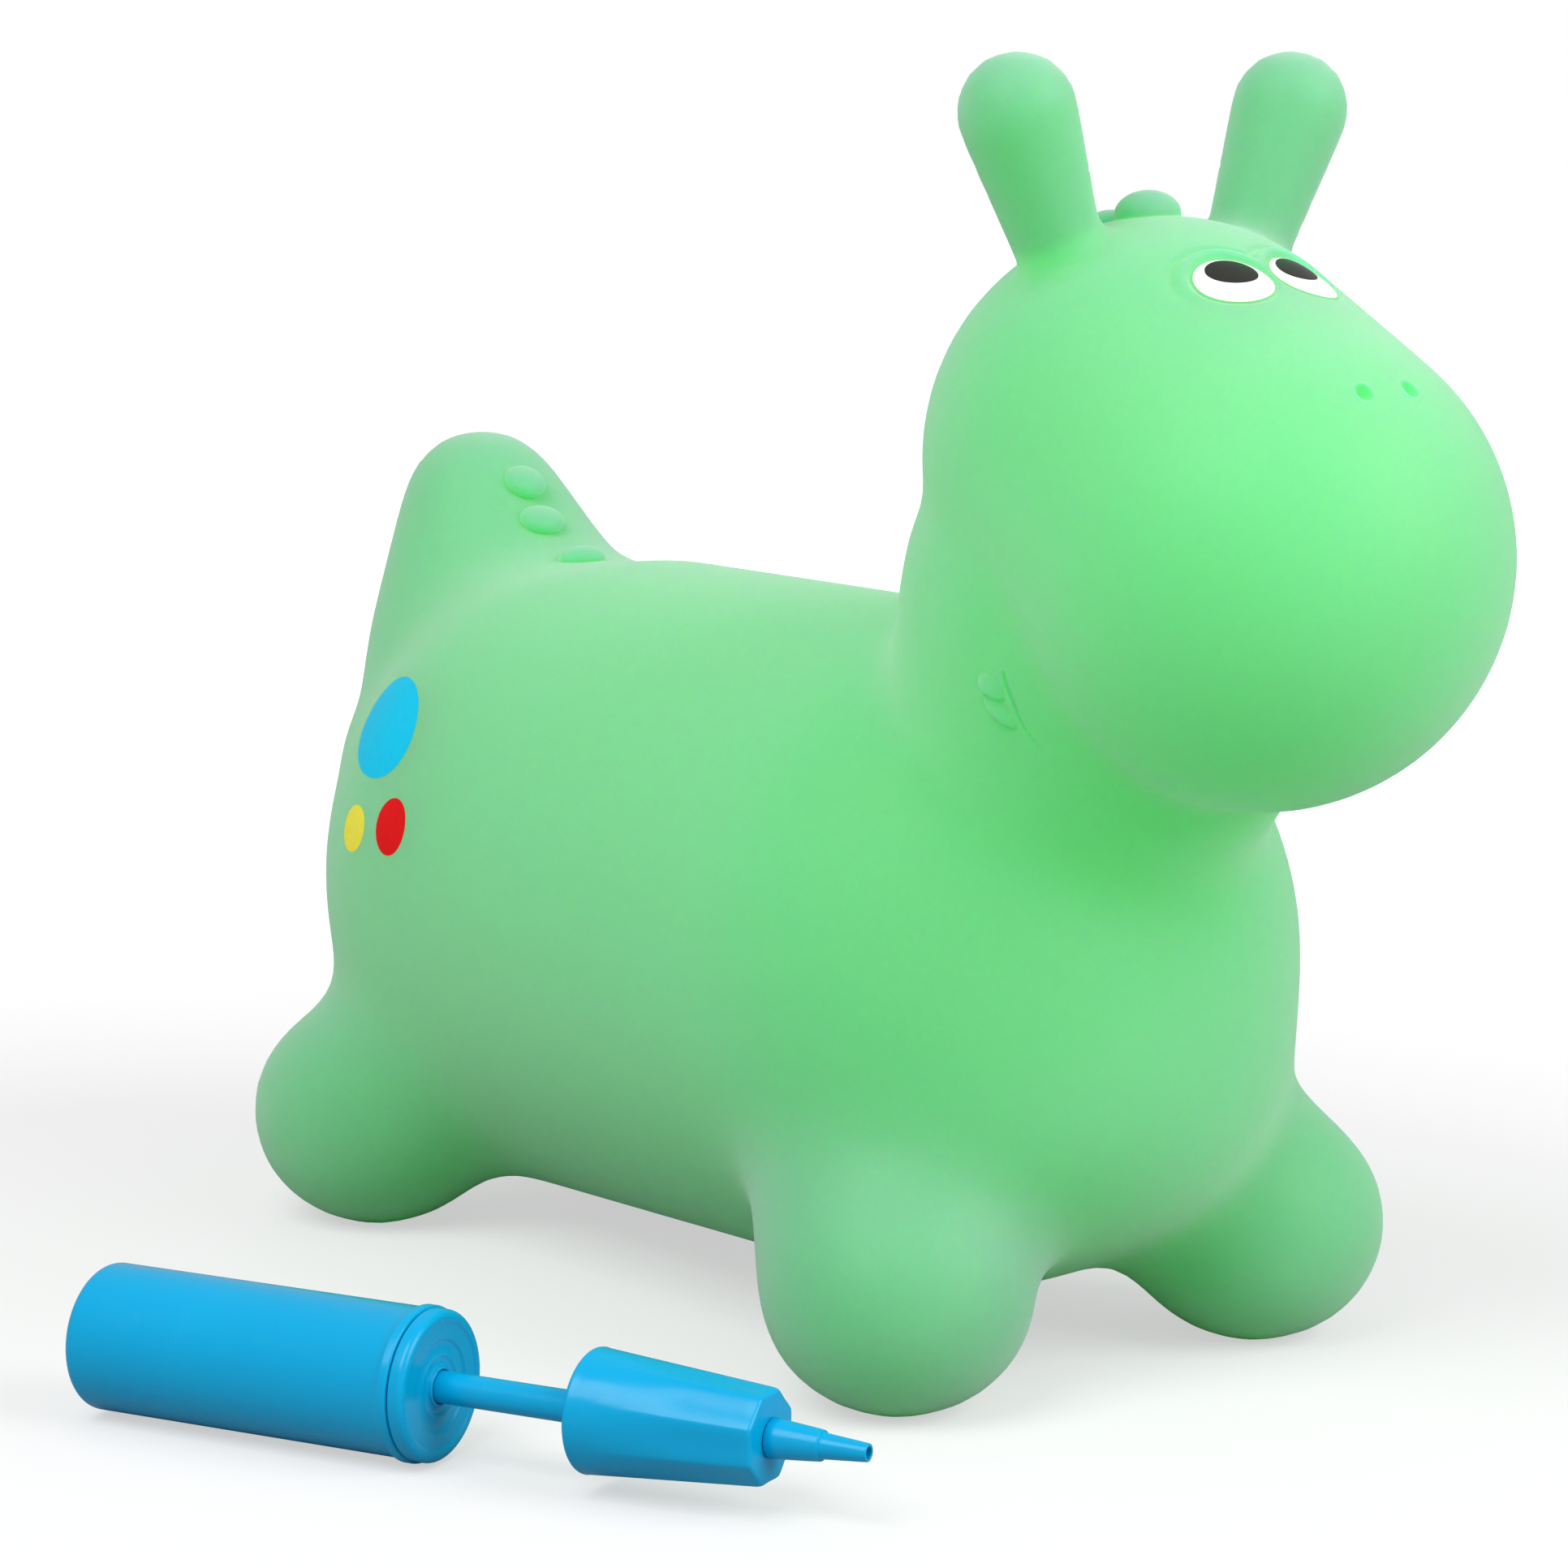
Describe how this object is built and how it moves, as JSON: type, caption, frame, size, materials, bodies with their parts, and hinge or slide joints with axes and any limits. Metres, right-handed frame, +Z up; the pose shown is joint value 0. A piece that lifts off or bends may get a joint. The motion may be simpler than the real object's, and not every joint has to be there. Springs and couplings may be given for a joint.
{
  "type": "bouncy ride-on animal",
  "caption": "Soft inflated ride-on animal with a saddle back, round feet, ears to hold and painted eyes and spots, with the hand air pump that fills it through a belly valve",
  "frame": {"origin": "on the floor, under the middle of the box round the animal and its pump", "axes": "+Z is up; the animal faces -Y and its left side is +X; the pump lies on the floor at -X"},
  "size_m": [0.4574, 0.5886, 0.461],
  "materials": {
    "green_vinyl": "soft matte PVC vinyl with a faint satin sheen",
    "plug_plastic": "satin off-white plastic",
    "white_paint": "satin paint",
    "black_paint": "semi-gloss paint",
    "blue_paint": "satin paint",
    "yellow_paint": "satin paint",
    "red_paint": "satin paint",
    "blue_plastic": "glossy moulded plastic",
    "black_rubber": "dull rubber"
  },
  "bodies": {
    "animal": {"vinyl_skin": "green_vinyl", "eye_white_left": "white_paint", "eye_white_right": "white_paint", "pupil_left": "black_paint", "pupil_right": "black_paint", "spot_blue_left": "blue_paint", "spot_blue_right": "blue_paint", "spot_yellow_left": "yellow_paint", "spot_yellow_right": "yellow_paint", "spot_red_left": "red_paint", "spot_red_right": "red_paint"},
    "valve_plug": {"valve_plug": "plug_plastic"},
    "pump_barrel": {"pump_barrel": "blue_plastic", "pump_collar": "blue_plastic"},
    "pump_rod": {"pump_rod": "blue_plastic", "pump_piston": "blue_plastic", "pump_piston_ring": "black_rubber", "pump_check_flap": "black_rubber", "pump_grip": "blue_plastic", "pump_nozzle": "blue_plastic"}
  },
  "joints": [
    {"name": "valve_plug_pull", "type": "slide", "parent": "animal", "child": "valve_plug", "axis": [0, 0, -1], "range_m": [0, 0.011]},
    {"name": "pump_lift", "type": "slide", "parent": "animal", "child": "pump_barrel", "axis": [0, 0, 1], "range_m": [0, 0.25]},
    {"name": "rod_slide", "type": "slide", "parent": "pump_barrel", "child": "pump_rod", "axis": [0.4384, -0.8988, 0], "range_m": [-0.055, 0.053]}
  ]
}
